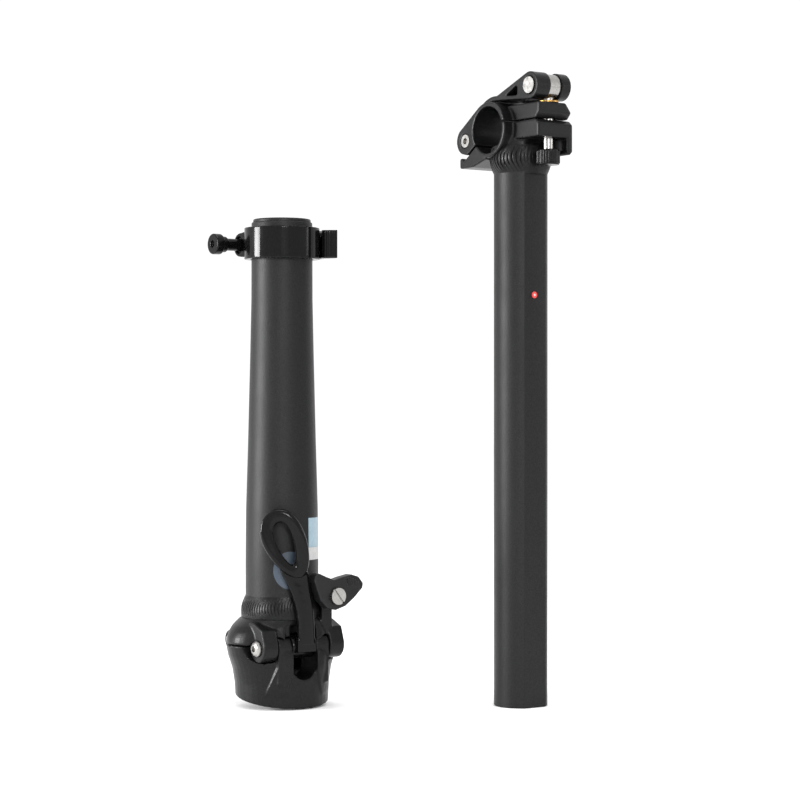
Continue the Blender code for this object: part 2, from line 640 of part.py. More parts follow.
def head_saddle():
    """Lower jaw of the handlebar clamp, welded on the inner tube."""
    body = rod("head_saddle", HEAD_R, -HEAD_HALF, HEAD_HALF, (0, BAR_Y, BAR_Z), ALONG_X, 56)
    rear_lip = [(8, 301), (20, 297.5), (31, 297.5), (31, 308), (14, 312)]
    join(body, rod("neck", 15.2, POST_TOP_Z + GAP, 312, (0, 0, 0), segments=56),
         plate("front_block", [(-12, 311), (8.2, 311), (8.2, 303.0), (10.2, 301.5), (12.2, 303.5),
                               (12.2, 318), (11.4, 325), (-12, 325)], -30.2, 2, ALONG_Y),
         plate("rear_lip", rear_lip, -HEAD_HALF, HEAD_HALF, ALONG_X))
    cut(body, plate("split_top", slit_above(), -40, 40, ALONG_X))
    web = hull(arc((CAP_PIN_Y, CAP_PIN_Z), CAP_KNUCKLE_R, 0, 360, 28) + [(22.5, 299), (31, 299)])
    foot = [(21, 297.5), (30.6, 297.5), (31.4, 298.4), (31.4, 302.6), (30.2, 303.6), (27.4, 301.5)]
    join(body, plate("pin_knuckle", web, -CAP_KNUCKLE_HALF, CAP_KNUCKLE_HALF, ALONG_X),
         plate("foot", foot, -HEAD_HALF, HEAD_HALF, ALONG_X))
    cut(body, rod("bar_bore", BAR_BORE_R, -40, 40, (0, BAR_Y, BAR_Z), ALONG_X, 56),
        rod("cap_pin_hole", CAP_PIN_R + 0.4, -40, 40, (0, CAP_PIN_Y, CAP_PIN_Z), ALONG_X),
        box("neck_flat", (-8.1, -40, 290), (8.1, POST_FLAT_Y - 0.3, 310.5)),
        shank_bore("saddle_shank_bore"))
    finish(body, "forged_black")
    return body


def head_cap():
    """Upper jaw, hinged behind the bore and pulled down in front by the eye bolt."""
    outline = hull(arc((BAR_Y, BAR_Z), HEAD_R, 0, 360, 56)
                   + arc((CAP_PIN_Y, CAP_PIN_Z), 7.6, 0, 360, 32))
    body = plate("head_cap", outline, -HEAD_HALF, HEAD_HALF, ALONG_X)
    join(body, plate("cap_block", [(-11.5, 315), (11.6, 315), (11.0, 325.0), (7.4, CAP_BLOCK_TOP_Z),
                                   (-11.5, CAP_BLOCK_TOP_Z)], -30.2, 2, ALONG_Y))
    cut(body, plate("split_bottom", slit_below(), -40, 40, ALONG_X),
        rod("cap_bore", BAR_BORE_R, -40, 40, (0, BAR_Y, BAR_Z), ALONG_X, 56),
        rod("knuckle_room", CAP_KNUCKLE_R + 0.35, -CAP_KNUCKLE_HALF - 0.3, CAP_KNUCKLE_HALF + 0.3,
            (0, CAP_PIN_Y, CAP_PIN_Z), ALONG_X),
        box("web_room", (-CAP_KNUCKLE_HALF - 0.3, 20.3, 290), (CAP_KNUCKLE_HALF + 0.3, 40, CAP_PIN_Z)),
        box("web_back_room", (-CAP_KNUCKLE_HALF - 0.3, CAP_PIN_Y, 290), (CAP_KNUCKLE_HALF + 0.3, 40, 330)),
        rod("cap_hole", CAP_PIN_R + 0.4, -40, 40, (0, CAP_PIN_Y, CAP_PIN_Z), ALONG_X),
        shank_bore("cap_shank_bore"))
    finish(body, "forged_black")
    return body


def cap_hinge_pin():
    body = rod("cap_hinge_pin", CAP_PIN_R, -18.3, 18.3, (0, CAP_PIN_Y, CAP_PIN_Z), ALONG_X)
    cut(body, rod("pin_socket", 1.9, -20, -16.4, (0, CAP_PIN_Y, CAP_PIN_Z), ALONG_X, 6))
    finish(body, "steel")
    return body


def eye_bolt():
    body = rod("eye_bolt", 6.6, -3.5, 3.5, (0, EYE_Y, EYE_Z), ALONG_X)
    join(body, rod("bolt_shank", SHANK_R, 299.5, EYE_Z - 3, (0, EYE_Y, 0), segments=24))
    cut(body, rod("cross_hole", CROSS_PIN_R + GAP, -10, 10, (0, EYE_Y, EYE_Z), ALONG_X))
    finish(body, "steel")
    return body


def cross_pin():
    body = rod("cross_pin", CROSS_PIN_R, -13.9, 10.2, (0, EYE_Y, EYE_Z), ALONG_X, 40)
    finish(body, "steel")
    return body


def brass_washer():
    body = rod("brass_washer", 5.6, CAP_BLOCK_TOP_Z + GAP, CAP_BLOCK_TOP_Z + 1.1, (0, EYE_Y, 0), segments=32)
    cut(body, rod("washer_bore", SHANK_R + GAP, 320, 340, (0, EYE_Y, 0), segments=24))
    finish(body, "brass")
    return body


def head_nut():
    """Knurled nut under the saddle's front block."""
    body = rod("head_nut", 6.1, 296.2, 304.6, (0, EYE_Y, 0), segments=40)
    round_edges(body, 0.5)
    cut(body, rod("nut_thread", SHANK_R + GAP, 298.6, 320, (0, EYE_Y, 0), segments=24),
        rod("nut_hex", 2.2, 290, 299.0, (0, EYE_Y, 0), segments=6))
    finish(body, "gloss_black")
    return body


def head_lever():
    """Forked cam lever: two cheeks on the cross pin and a handle that lies along the cap."""
    disc = arc((EYE_Y, EYE_Z), 7.4, 0, 360, 40)
    back = arc((BAR_Y, BAR_Z), 19.0, 96, 44, 12)
    under = arc((BAR_Y, BAR_Z), 16.3, 44, 96, 12)
    arm = hull(disc + [back[0], (BAR_Y - 2.0, BAR_Z + 16.2)])
    handle = back + under
    left = plate("head_lever", arm, -13.4, -3.9, ALONG_X)
    window = [(-3.4, 335.0), (-12.4, 339.6), (-13.6, 338.8), (-13.6, 335.2), (-12.4, 334.4)]
    cut(left, plate("window", window, -20, -3, ALONG_X))
    join(left, plate("right_cheek", arm, 3.9, 10.2, ALONG_X),
         plate("handle", handle, -13.4, 10.2, ALONG_X),
         box("bridge", (-13.4, 0.0, BAR_Z + 16.4), (10.2, BAR_Y, BAR_Z + 18.8)))
    cut(left, rod("cam_bore", CROSS_PIN_R + GAP, -30, 30, (0, EYE_Y, EYE_Z), ALONG_X, 40))
    finish(left, "forged_black")
    return left


# Assembly -----------------------------------------------------------------------------------------

def joint_empty(name, pivot, children):
    empty = bpy.data.objects.new(name, None)
    empty.location = Vector(pivot) * MM
    PARTS.objects.link(empty)
    bpy.context.view_layer.update()
    for child in children:
        child.parent = empty
        child.matrix_parent_inverse = empty.matrix_world.inverted()
    return empty


def place_half(name, children, place, before):
    """Moves a finished half, with the cutters made for it, from the origin to its place."""
    half = joint_empty(name, (0, 0, 0), children)
    for obj in set(bpy.data.objects) - before:
        if obj.name in CUTTERS.objects:
            obj.parent = half
    half.location = Vector((*place, 0)) * MM


def build_lower_half():
    before = set(bpy.data.objects)
    lever = joint_empty("main_lever_joint", (0, LATCH_Y, LATCH_Z), [main_lever()])
    thumb = joint_empty("catch_joint", (CATCH_X, 0, CATCH_Z), [catch()])
    cam = joint_empty("collar_lever_joint", (CAM_X, BOLT_Y, COLLAR_MID_Z),
                      [collar_lever()])
    nut = joint_empty("collar_nut_joint", (0, BOLT_Y, COLLAR_MID_Z), [collar_nut()])
    folding = [upper_forging(), outer_tube(), guide_sleeve(), lower_weld_bead(), latch_pin(),
               latch_pin_screw("latch_pin_screw_left", -1), latch_pin_screw("latch_pin_screw_right", 1),
               catch_screw(), catch_washer(), collar_ring(), collar_bolt(), collar_pivot_pin(),
               nut_washer(), lever, thumb, cam, nut]
    fold = joint_empty("fold_joint", (0, HINGE_Y, HINGE_Z), folding)
    fixed = [base_forging(), steerer_bolt(), rear_hinge_pin(),
             hinge_washer("hinge_washer_left", -8.4), hinge_washer("hinge_washer_right", 7.9)]
    place_half("lower_half", fixed + [fold], LOWER_PLACE, before)


def build_upper_half():
    before = set(bpy.data.objects)
    lever = joint_empty("head_lever_joint", (0, EYE_Y, EYE_Z), [head_lever()])
    nut = joint_empty("head_nut_joint", (0, EYE_Y, 0), [head_nut()])
    standing = [inner_tube(), limit_mark(), head_weld_bead(), head_saddle(), head_cap(),
                cap_hinge_pin(), eye_bolt(), cross_pin(), brass_washer(), lever, nut]
    place_half("upper_half", standing, UPPER_PLACE, before)


build_lower_half()
build_upper_half()
bpy.context.view_layer.update()
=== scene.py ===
"""Looks of the folding handlepost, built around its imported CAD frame.

Sizes are in millimetres and angles in degrees, except in the stage, which is in metres.
Each CAD node either keeps its own mesh, with a material, or is replaced by a finer piece.
"""
import json
import math

import bmesh
import bpy
from mathutils import Matrix, Vector


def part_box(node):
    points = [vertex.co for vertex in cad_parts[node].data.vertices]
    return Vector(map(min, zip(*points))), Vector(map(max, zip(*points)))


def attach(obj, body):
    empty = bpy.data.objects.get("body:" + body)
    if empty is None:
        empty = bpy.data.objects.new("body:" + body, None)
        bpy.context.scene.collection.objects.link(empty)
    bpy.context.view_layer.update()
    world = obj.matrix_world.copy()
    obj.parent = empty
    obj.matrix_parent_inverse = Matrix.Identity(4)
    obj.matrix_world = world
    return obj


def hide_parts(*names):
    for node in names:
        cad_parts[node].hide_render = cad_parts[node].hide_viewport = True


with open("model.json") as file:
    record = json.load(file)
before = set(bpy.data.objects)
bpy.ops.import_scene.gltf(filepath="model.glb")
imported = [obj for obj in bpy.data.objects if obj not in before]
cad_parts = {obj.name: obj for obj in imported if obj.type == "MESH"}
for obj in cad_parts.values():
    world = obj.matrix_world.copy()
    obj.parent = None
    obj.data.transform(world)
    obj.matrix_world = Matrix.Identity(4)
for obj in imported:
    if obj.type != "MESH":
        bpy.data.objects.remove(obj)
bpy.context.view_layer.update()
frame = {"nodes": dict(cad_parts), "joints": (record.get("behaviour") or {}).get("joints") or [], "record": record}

MM = 0.001                     # one millimetre in the scene's metres
NODES = frame["nodes"]
BODY_OF = {node: body for body, nodes in frame["record"]["behaviour"]["bodies"].items()
           for node in nodes}
SLOT_OF = {entry["node"]: entry["material_slot"] for entry in frame["record"]["subparts"]}
PIVOT = {joint["name"]: Vector(joint.get("pos_m", (0, 0, 0))) for joint in frame["joints"]}


def box_mm(node):
    low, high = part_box(node)
    return low / MM, high / MM


TUBE_LOW, TUBE_HIGH = box_mm("outer_tube")
POST_LOW, POST_HIGH = box_mm("inner_tube")
LOWER = ((TUBE_LOW + TUBE_HIGH) / 2).to_2d()                 # axis of the lower half
POST_R = (POST_HIGH.x - POST_LOW.x) / 2
# The inner tube's front is flat, so its axis is found from its round back.
UPPER = Vector(((POST_LOW.x + POST_HIGH.x) / 2, POST_HIGH.y - POST_R))


# Materials ----------------------------------------------------------------------------------------

NOISE_SPAN = (0.3, 0.7)        # the part of a noise's values that is stretched over a range
PIECE_EDGE = 40                # an edge sharper than this stays sharp on a replacing piece
CAD_EDGE = 35                  # and on a CAD node

FINISH_DETAIL = 3.0            # noise detail of a finish's grain
BLOTCH_SCALE = 45.0            # slow changes of gloss over a finish
BLOTCH_DETAIL = 5.0
FINISH_ROUGHNESS = 0.6         # of both noises
FINISH_BUMP_DEPTH = 0.0002     # metres

METAL_DETAIL = 6.0
METAL_ROUGHNESS = 0.7
METAL_BUMP = 0.15
METAL_BUMP_DEPTH = 0.0001      # metres
METAL_SHADE = 0.72             # the streaks' dark colour, as a part of the metal's own


def grey(value):
    return (value, value, value)


# Dark and light colour, range of roughness, scale of the grain and strength of its bump.
FINISHES = {
    "satin_black": dict(dark=grey(0.003), light=(0.013, 0.013, 0.014), rough=(0.40, 0.48),
                        grain=1800, bump=0.55, metallic=0.2, specular=0.24),
    "forged_black": dict(dark=grey(0.002), light=(0.009, 0.009, 0.010), rough=(0.28, 0.38),
                         grain=1300, bump=0.40, metallic=0.2, specular=0.22),
    "gloss_black": dict(dark=grey(0.002), light=grey(0.004), rough=(0.10, 0.17),
                        grain=900, bump=0.08, specular=0.16),
    "black_plastic": dict(dark=grey(0.006), light=(0.012, 0.012, 0.013), rough=(0.34, 0.46),
                          grain=1500, bump=0.30, specular=0.22),
    "red_paint": dict(dark=(0.50, 0.02, 0.02), light=(0.65, 0.05, 0.04), rough=(0.30, 0.42),
                      grain=700, bump=0.10),
    # White paint of the label's lower band, and the painted highlight on the red limit dot.
    "white_paint_and_painted_highlight": dict(dark=grey(0.42), light=(0.52, 0.52, 0.51), rough=(0.35, 0.45),
                        grain=600, bump=0.05),
    "label_blue": dict(dark=(0.24, 0.34, 0.40), light=(0.29, 0.40, 0.46), rough=(0.30, 0.40),
                       grain=500, bump=0.03),
    # The blue label behind the lever's loop, darkened with painted shade.
    "label_blue_painted_shade": dict(dark=(0.030, 0.046, 0.068), light=(0.040, 0.058, 0.085),
                        rough=(0.30, 0.40), grain=500, bump=0.03),
}
METALS = {
    "steel": dict(colour=(0.42, 0.41, 0.395), rough=(0.22, 0.36), streak=380),
    "brass": dict(colour=(0.45, 0.25, 0.07), rough=(0.25, 0.42), streak=600),
}


def new_material(name):
    material = bpy.data.materials.new(name)
    material.use_nodes = True
    return material, material.node_tree, material.node_tree.nodes["Principled BSDF"]


def add_noise(tree, scale, detail, roughness):
    coords = tree.nodes.get("Texture Coordinate") or tree.nodes.new("ShaderNodeTexCoord")
    noise = tree.nodes.new("ShaderNodeTexNoise")
    noise.inputs["Scale"].default_value = scale
    noise.inputs["Detail"].default_value = detail
    noise.inputs["Roughness"].default_value = roughness
    tree.links.new(coords.outputs["Object"], noise.inputs["Vector"])
    return noise.outputs["Fac"]


def add_range(tree, source, low, high):
    ramp = tree.nodes.new("ShaderNodeMapRange")
    ramp.inputs["From Min"].default_value, ramp.inputs["From Max"].default_value = NOISE_SPAN
    ramp.inputs["To Min"].default_value = low
    ramp.inputs["To Max"].default_value = high
    tree.links.new(source, ramp.inputs["Value"])
    return ramp.outputs["Result"]


def drive(tree, shader, colours, colour_noise, rough, rough_noise, bump, depth):
    """One noise moves the colour and the bump, and another, or the same one, the roughness."""
    mix = tree.nodes.new("ShaderNodeMix")
    mix.data_type = "RGBA"
    for socket, colour in zip("AB", colours):
        mix.inputs[socket].default_value = (*colour, 1)
    tree.links.new(add_range(tree, colour_noise, 0.0, 1.0), mix.inputs["Factor"])
    tree.links.new(mix.outputs["Result"], shader.inputs["Base Color"])
    tree.links.new(add_range(tree, rough_noise, *rough), shader.inputs["Roughness"])
    bumper = tree.nodes.new("ShaderNodeBump")
    bumper.inputs["Strength"].default_value = bump
    bumper.inputs["Distance"].default_value = depth
    tree.links.new(colour_noise, bumper.inputs["Height"])
    tree.links.new(bumper.outputs["Normal"], shader.inputs["Normal"])


def finish_material(name, dark, light, rough, grain, bump, metallic=0.0, specular=0.5):
    """Anodised, forged, moulded or painted: fine grain in colour and bump, blotches in gloss."""
    material, tree, shader = new_material(name)
    shader.inputs["Metallic"].default_value = metallic
    shader.inputs["Specular IOR Level"].default_value = specular
    fine = add_noise(tree, grain, FINISH_DETAIL, FINISH_ROUGHNESS)
    slow = add_noise(tree, BLOTCH_SCALE, BLOTCH_DETAIL, FINISH_ROUGHNESS)
    drive(tree, shader, (dark, light), fine, rough, slow, bump, FINISH_BUMP_DEPTH)
    return material


def metal_material(name, colour, rough, streak):
    """Bright metal, finely mottled in colour, gloss and bump."""
    material, tree, shader = new_material(name)
    shader.inputs["Metallic"].default_value = 1.0
    noise = add_noise(tree, streak, METAL_DETAIL, METAL_ROUGHNESS)
    dark = [part * METAL_SHADE for part in colour]
    drive(tree, shader, (dark, colour), noise, rough, noise, METAL_BUMP, METAL_BUMP_DEPTH)
    return material


MATERIALS = {name: finish_material(name, **look) for name, look in FINISHES.items()}
MATERIALS.update({name: metal_material(name, **look) for name, look in METALS.items()})


def shade(mesh, material, edge):
    mesh.materials.clear()
    mesh.materials.append(MATERIALS[material])
    mesh.shade_smooth()
    mesh.set_sharp_from_angle(angle=math.radians(edge))


def paint_cad_nodes():
    for node, obj in NODES.items():
        shade(obj.data, SLOT_OF[node], CAD_EDGE)


# Mesh helpers -------------------------------------------------------------------------------------

def new_piece(name, mesh, node=None, body=None, material=None):
    """Adds a piece, which replaces its CAD node if it names one, and rides on that node's body."""
    piece = bpy.data.objects.new(name, mesh)
    bpy.context.scene.collection.objects.link(piece)
    shade(mesh, material or SLOT_OF[node], PIECE_EDGE)
    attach(piece, body or BODY_OF[node])
    if node:
        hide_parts(node)


def mesh_of(bm, name):
    """Frees the bmesh and returns its mesh, with the faces turned outward."""
    bmesh.ops.recalc_face_normals(bm, faces=bm.faces)
    mesh = bpy.data.meshes.new(name)
    bm.to_mesh(mesh)
    bm.free()
    return mesh


def scratch(mesh):
    """Working object that takes modifiers and is removed again."""
    obj = bpy.data.objects.new("scratch", mesh)
    bpy.context.scene.collection.objects.link(obj)
    return obj


def applied(work, *helpers):
    """Mesh of a working object after its modifiers. The object and its helpers are removed."""
    bpy.context.view_layer.update()
    mesh = bpy.data.meshes.new_from_object(
        work.evaluated_get(bpy.context.evaluated_depsgraph_get()))
    for obj in (work, *helpers):
        bpy.data.objects.remove(obj)
    return mesh


def carve(mesh, *cutters):
    """Boolean difference with cutter meshes."""
    work = scratch(mesh)
    helpers = [scratch(cutter) for cutter in cutters]
    for helper in helpers:
        boolean = work.modifiers.new("carve", "BOOLEAN")
        boolean.object = helper
        boolean.solver = "EXACT"
    return applied(work, *helpers)


def box_mesh(low, high, turn=None):
    low, high = Vector(low), Vector(high)
    bm = bmesh.new()
    place = Matrix.Translation((low + high) / 2 * MM) @ Matrix.Diagonal((high - low) * MM).to_4x4()
    bmesh.ops.create_cube(bm, size=1.0, matrix=place)
    if turn:
        bmesh.ops.transform(bm, matrix=turn, verts=bm.verts)
    return mesh_of(bm, "box")


def rod_mesh(radius, start, end, segments=16):
    """Plain rod between two points, used as a detail that is melted in."""
    start, end = Vector(start) * MM, Vector(end) * MM
    bm = bmesh.new()
    way = end - start
    place = Matrix.Translation((start + end) / 2) @ way.to_track_quat("Z", "Y").to_matrix().to_4x4()
    bmesh.ops.create_cone(bm, cap_ends=True, segments=segments, radius1=radius * MM,
                          radius2=radius * MM, depth=way.length, matrix=place)
    return mesh_of(bm, "rod")


def around(axis, angle, z, half_x, half_y=None):
    """Point in metres on a circle or an ellipse round an upright axis; the angle is in radians."""
    if half_y is None:
        half_y = half_x
    return ((axis.x + half_x * math.cos(angle)) * MM, (axis.y + half_y * math.sin(angle)) * MM,
            z * MM)


def revolve(profile, axis, steps=192):
    """Ring from a closed profile of (radius, height), round an upright axis."""
    bm = bmesh.new()
    rings = []
    for step in range(steps):
        angle = math.tau * step / steps
        rings.append([bm.verts.new(around(axis, angle, z, radius)) for radius, z in profile])
    count = len(profile)
    for step in range(steps):
        here, there = rings[step], rings[(step + 1) % steps]
        for i in range(count):
            j = (i + 1) % count
            bm.faces.new((here[i], here[j], there[j], there[i]))
    return mesh_of(bm, "ring")


# Tubes --------------------------------------------------------------------------------------------

# (Height, outer radius) of the tapered tube from the mouth down, as in the CAD profile.
TAPER = [(224, 16.9), (191, 17.6), (142, 18.8), (109, 19.8), (80, 20.1)]
LONG_STRETCH = 20              # a stretch of the profile that is longer than this
STRETCH_PARTS = 6              # is divided into this many parts
OVERRUN = 5                    # how far a cutter reaches past the face that it cuts

# A slit's reach is where its cutter starts and ends, measured out from the tube's axis.
FRONT_SLIT = dict(half_width=1.5, depth=20, reach=(12, 22), angle=-33)
BACK_SLIT = dict(half_width=1.2, depth=38, reach=(10, 25))
POST_STEPS = 224               # the inner tube is drawn a little finer than the other rings


def tube_radius(z):
    """Outer radius of the tapered tube at a height below its mouth."""
    for (z1, r1), (z0, r0) in zip(TAPER, TAPER[1:]):
        if z >= z0:
            return r0 + (r1 - r0) * (z - z0) / (z1 - z0)
    return TAPER[-1][1]


def subdivided(points):
    """Adds points on the long stretches of a profile, so that their faces aren't too slender."""
    result = [points[0]]
    for (r0, z0), (r1, z1) in zip(points, points[1:]):
        if abs(z1 - z0) > LONG_STRETCH:
            for step in range(1, STRETCH_PARTS):
                t = step / STRETCH_PARTS
                result.append((r0 + (r1 - r0) * t, z0 + (z1 - z0) * t))
        result.append((r1, z1))
    return result


def outer_tube():
    """Tapered tube with a radiused mouth and its two slits."""
    top, foot = TUBE_HIGH.z, TUBE_LOW.z
    mouth = [(16.0, top), (16.3, top), (16.65, top - 0.2), (16.8, top - 0.6)]
    outside = mouth + [(radius, z) for z, radius in TAPER] + [(TAPER[-1][1], foot)]
    bore = [(15.6, foot), (15.6, top - 0.3), (15.8, top)]
    mesh = revolve(subdivided(outside) + bore, LOWER)

    x, y = LOWER
    centre = Vector((x, y, 0)) * MM
    turn = (Matrix.Translation(centre)
            @ Matrix.Rotation(math.radians(FRONT_SLIT["angle"]), 4, "Z")
            @ Matrix.Translation(-centre))
    half, (near, far) = FRONT_SLIT["half_width"], FRONT_SLIT["reach"]
    front_slit = box_mesh((x + near, y - half, top - FRONT_SLIT["depth"]),
                          (x + far, y + half, top + OVERRUN), turn)
    half, (near, far) = BACK_SLIT["half_width"], BACK_SLIT["reach"]
    back_slit = box_mesh((x - half, y + near, top - BACK_SLIT["depth"]),
                         (x + half, y + far, top + OVERRUN))
    new_piece("outer_tube_fine", carve(mesh, front_slit, back_slit), "outer_tube")


def inner_tube():
    """Sliding tube with its long front flat and small chamfers at both ends."""
    top = POST_HIGH.z
    bore, chamfer, foot_chamfer = 12.2, 0.5, 0.6
    profile = [(POST_R - chamfer, top), (POST_R, top - chamfer), (POST_R, foot_chamfer),
               (POST_R - foot_chamfer, 0.0), (bore + chamfer, 0.0), (bore, chamfer), (bore, top)]
    reach_x, reach_y = 30, 40              # past the tube's sides and front
    in_front = box_mesh((UPPER.x - reach_x, UPPER.y - reach_y, -OVERRUN),
                        (UPPER.x + reach_x, POST_LOW.y, top + OVERRUN))
    mesh = carve(revolve(profile, UPPER, POST_STEPS), in_front)
    new_piece("inner_tube_fine", mesh, "inner_tube")


def guide_sleeve():
    """Plastic sleeve in the mouth of the outer tube, with a rounded lip on top of it."""
    low, high = box_mm("guide_sleeve")
    top, foot = high.z, low.z
    bore, shank, lip, lip_depth = 14.9, 15.3, 15.9, 1.5
    profile = [(15.2, top), (15.6, top - 0.15), (lip, top - 0.6), (lip, top - lip_depth),
               (shank, top - lip_depth), (shank, foot), (bore, foot), (bore, top - 0.3),
               (15.0, top)]
    new_piece("guide_sleeve_fine", revolve(profile, LOWER), "guide_sleeve")


# Weld beads ---------------------------------------------------------------------------------------

BEAD_STEPS = 900               # columns round a bead
BEAD_LEVELS = 18               # rows from its top to its foot
BEAD_WALL = 1.2                # from the bead's rings in to its hidden back
RIPPLE_BEND = 1.7              # bends each ripple into an arc, in ripple widths
RIPPLE_LEAN = 0.5              # and leans it over
FRONT_FLATTER = 0.75           # the part of the swell that is missing at the very front
FRONT_SHARPNESS = 6            # how fast that fades out to the sides
WANDER_SLOW = 0.35             # height of the waves along the bead, three round it
WANDER_FAST = 0.25             # and seven


def weld_bead(node, axis, top, foot, bulge, ripples):
    """Rippled weld: overlapping scallops between a top and a foot ring of (half x, half y, z)."""
    bm = bmesh.new()
    outside, inside = [], []
    for step in range(BEAD_STEPS):
        angle = math.tau * step / BEAD_STEPS
        flatter = FRONT_FLATTER * max(0.0, -math.sin(angle)) ** FRONT_SHARPNESS
        wander = WANDER_SLOW * math.sin(angle * 3 + 1) + WANDER_FAST * math.sin(angle * 7)
        column, back = [], []
        for level in range(BEAD_LEVELS + 1):
            t = level / BEAD_LEVELS
            half_x, half_y, z = (high + (low - high) * t for high, low in zip(top, foot))
            lean = RIPPLE_BEND * (2 * t - 1) ** 2 + RIPPLE_LEAN * t
            phase = (lean - angle * ripples / math.tau) % 1.0
            scallop = math.sqrt(max(0.0, 1 - phase ** 2))
            arch = math.sin(math.pi * t)
            swell = bulge * arch * (0.5 + 0.5 * scallop) * (1 - flatter)
            column.append(bm.verts.new(
                around(axis, angle, z + wander * arch, half_x + swell, half_y + swell)))
            back.append(bm.verts.new(
                around(axis, angle, z, half_x - BEAD_WALL, half_y - BEAD_WALL)))
        outside.append(column)
        inside.append(back)
    for step in range(BEAD_STEPS):
        following = (step + 1) % BEAD_STEPS
        for grid, flip in ((outside, 1), (inside, -1)):
            for level in range(BEAD_LEVELS):
                quad = (grid[step][level], grid[step][level + 1],
                        grid[following][level + 1], grid[following][level])
                bm.faces.new(quad[::flip])
        for level in (0, BEAD_LEVELS):
            bm.faces.new((outside[step][level], outside[following][level],
                          inside[following][level], inside[step][level]))
    new_piece(node + "_rippled", mesh_of(bm, node), node, material="forged_black")


def weld_beads():
    low, high = box_mm("lower_weld_bead")
    weld_bead("lower_weld_bead", LOWER, top=(20.2, 20.2, high.z + 0.4),
              foot=(22.6, 21.6, low.z - 1.0), bulge=1.2, ripples=78)
    weld_bead("head_weld_bead", UPPER, top=(16.2, 15.0, 308.0), foot=(14.6, 14.6, 292.5),
              bulge=1.9, ripples=44)


# Melted forgings and fittings ---------------------------------------------------------------------

MELT_FACTOR = 0.5              # of each smoothing pass


def catch_ribs():
    """Short slanted grip ribs across the right wing of the catch, under its arched edge."""
    count, pitch, radius, lean, length = 6, 1.6, 0.5, 1.3, 4.2
    first_x, first_z = 5.4, 9.6            # from the catch's pivot
    rise, droop = 0.35, 0.16               # the ribs' tops climb, and then turn down
    proud = 0.25                           # of the ribs' middles, in front of the catch's face
    front = box_mm("catch")[0].y - proud
    pivot = PIVOT["catch_turn"] / MM
    ribs = []
    for index in range(count):
        x = pivot.x + first_x + index * pitch
        z = pivot.z + first_z + index * rise - droop * index * index
        ribs.append(rod_mesh(radius, (x, front, z), (x + lean, front, z - length)))
    return ribs


def collar_lever_ribs():
    """Upright grip ribs on the end face of the collar lever's flared tab."""
    count, pitch, first, radius, margin = 6, 1.25, 23.6, 0.42, 0.5
    tab_start, tab_length, tab_angle, tab_skew = 22.1, 8.5, -34.5, 2.0
    low, high = box_mm("collar_lever")
    ribs = []
    for index in range(count):
        reach = first + index * pitch
        angle = math.radians(tab_angle - tab_skew * (reach - tab_start) / tab_length)
        x = LOWER.x + reach * math.cos(angle)
        y = LOWER.y + reach * math.sin(angle)
        ribs.append(rod_mesh(radius, (x, y, low.z + margin), (x, y, high.z - margin)))
    return ribs


def knurl():
    """Upright ridges round the knurled nut."""
    count, reach, radius, margin = 26, 6.1, 0.34, 0.9
    low, high = box_mm("head_nut")
    middle = (low + high) / 2
    ridges = []
    for index in range(count):
        angle = math.tau * index / count
        x = middle.x + reach * math.cos(angle)
        y = middle.y + reach * math.sin(angle)
        ridges.append(rod_mesh(radius, (x, y, low.z + margin), (x, y, high.z - margin),
                               segments=8))
    return ridges


# CAD nodes that are melted round: the voxel's size, the smoothing passes and what adds details.
MELTED = {
    "base_forging": (0.55, 5, None),
    "upper_forging": (0.55, 10, None),
    "main_lever": (0.4, 12, None),
    "catch": (0.25, 3, catch_ribs),
    "collar_ring": (0.4, 3, None),
    "collar_lever": (0.35, 3, collar_lever_ribs),
    "collar_nut": (0.2, 3, None),
    "nut_washer": (0.22, 2, None),
    "head_saddle": (0.5, 7, None),
    "head_cap": (0.45, 8, None),
    "head_lever": (0.35, 5, None),
    "head_nut": (0.14, 1, knurl),
    "eye_bolt": (0.25, 2, None),
}


def soften(node, voxel, passes, details):
    """CAD node melted with its details, so that its edges are rounded like a casting's."""
    bm = bmesh.new()
    bm.from_mesh(NODES[node].data)
    for mesh in details() if details else ():
        bm.from_mesh(mesh)
    work = scratch(mesh_of(bm, node + "_rough"))
    remesh = work.modifiers.new("melt", "REMESH")
    remesh.mode = "VOXEL"
    remesh.voxel_size = voxel * MM
    smooth = work.modifiers.new("relax", "SMOOTH")
    smooth.factor = MELT_FACTOR
    smooth.iterations = passes
    new_piece(node + "_soft", applied(work), node)


# Labels and marks ---------------------------------------------------------------------------------

LABEL_STEPS = 28               # columns across a label
LABEL_ROWS = 8                 # rows up it
LABEL_GAP = 0.12               # from the tube's surface to the label's underside
LABEL_THICKNESS = 0.10
LABEL_TIP = 0.02               # keeps a round label's two tips from closing to a point


def label(name, material, start, end, low, high, rounded=False):
    """Thin patch that follows the tapered tube between two angles and two heights."""
    middle = (low + high) / 2
    bm = bmesh.new()
    grid = []
    for i in range(LABEL_STEPS + 1):
        u = i / LABEL_STEPS
        angle = math.radians(start + (end - start) * u)
        half = (high - low) / 2
        if rounded:
            half *= math.sqrt(max(LABEL_TIP, 1 - (2 * u - 1) ** 2))
        heights = [middle - half + 2 * half * j / LABEL_ROWS for j in range(LABEL_ROWS + 1)]
        grid.append([bm.verts.new(around(LOWER, angle, z, tube_radius(z) + LABEL_GAP))
                     for z in heights])
    for here, there in zip(grid, grid[1:]):
        for j in range(LABEL_ROWS):
            bm.faces.new((here[j], there[j], there[j + 1], here[j + 1]))
    work = scratch(mesh_of(bm, name))
    solid = work.modifiers.new("thickness", "SOLIDIFY")
    solid.thickness = LABEL_THICKNESS * MM
    solid.offset = 1.0
    new_piece(name, applied(work), body="lower_post", material=material)


def labels():
    label("label_upper_band", "label_blue", start=-76, end=-8, low=88.0, high=104.0)
    label("label_lower_band", "white_paint_and_painted_highlight", start=-76, end=-8, low=81.0, high=87.9)
    # The rounded patch behind the lever's loop is the blue label, with painted shade in its colour.
    label("label_round", "label_blue_painted_shade", start=-136, end=-84, low=65.5, high=86.0, rounded=True)


